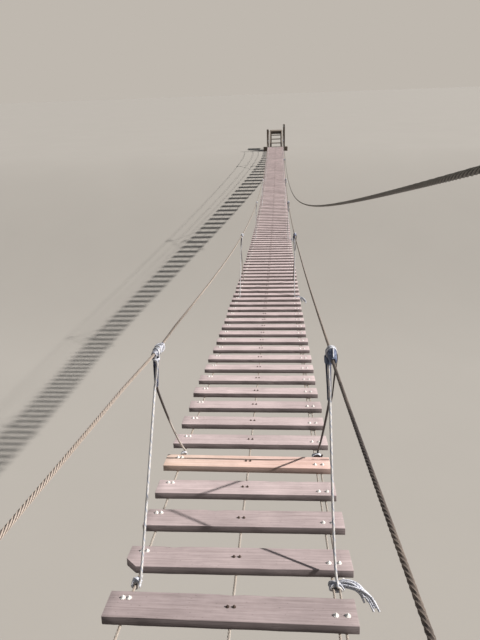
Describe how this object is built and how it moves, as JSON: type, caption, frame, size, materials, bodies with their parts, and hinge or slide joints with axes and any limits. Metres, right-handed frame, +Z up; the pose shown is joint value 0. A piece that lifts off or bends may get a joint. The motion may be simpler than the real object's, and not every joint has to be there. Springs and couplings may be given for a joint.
{
  "type": "rope suspension footbridge",
  "caption": "Narrow hanging footbridge: timber planks on wire ropes, V-shaped rope hangers to two hand cables, posts, sills, anchors and a short flight of steps at each end.",
  "frame": {"origin": "middle of the near sill's underside, where it lies on the ground", "axes": "+Y along the bridge from the near end to the far end, +X to the walker's right, +Z up"},
  "size_m": [1.5, 39.04, 4.468],
  "materials": {
    "plank": "weathered grey softwood boards with a pinkish brown tone, some newer and tan",
    "timber": "rough sawn, weathered brown grey",
    "deck_rope": "twisted wire rope, dull with dirt",
    "hand_cable": "twisted wire rope, weathered brown and worn by hands",
    "safety_line": "twisted wire rope, dark grey",
    "hanger_rope": "braided cord, off-white, with dark blue and white lashings",
    "galvanised": "hot-dip galvanised, dull, with rust at edges"
  },
  "bodies": {
    "root": {"deck_bay_1": "plank", "deck_bay_2": "plank", "deck_bay_3": "plank", "deck_bay_4": "plank", "deck_bay_5": "plank", "deck_bay_6": "plank", "left_deck_rope": "deck_rope", "right_deck_rope_inner": "deck_rope", "right_deck_rope_outer": "deck_rope", "left_hand_cable": "hand_cable", "right_hand_cable": "hand_cable", "safety_line": "safety_line", "left_hanger_1": "hanger_rope", "right_hanger_1": "hanger_rope", "left_hanger_2": "hanger_rope", "right_hanger_2": "hanger_rope", "left_hanger_3": "hanger_rope", "right_hanger_3": "hanger_rope", "left_hanger_4": "hanger_rope", "right_hanger_4": "hanger_rope", "left_hanger_5": "hanger_rope", "right_hanger_5": "hanger_rope", "left_hanger_6": "hanger_rope", "right_hanger_6": "hanger_rope", "near_sill": "timber", "near_left_post": "timber", "near_right_post": "timber", "near_left_stringer": "timber", "near_right_stringer": "timber", "near_tread_1": "timber", "near_tread_2": "timber", "near_tread_3": "timber", "near_landing": "timber", "near_rope_anchor": "galvanised", "near_left_saddle": "galvanised", "near_right_saddle": "galvanised", "near_safety_eye": "galvanised", "near_ground_anchor": "galvanised", "far_sill": "timber", "far_left_post": "timber", "far_right_post": "timber", "far_left_stringer": "timber", "far_right_stringer": "timber", "far_tread_1": "timber", "far_tread_2": "timber", "far_tread_3": "timber", "far_landing": "timber", "far_rope_anchor": "galvanised", "far_left_saddle": "galvanised", "far_right_saddle": "galvanised", "far_safety_eye": "galvanised", "far_ground_anchor": "galvanised"}
  },
  "joints": []
}
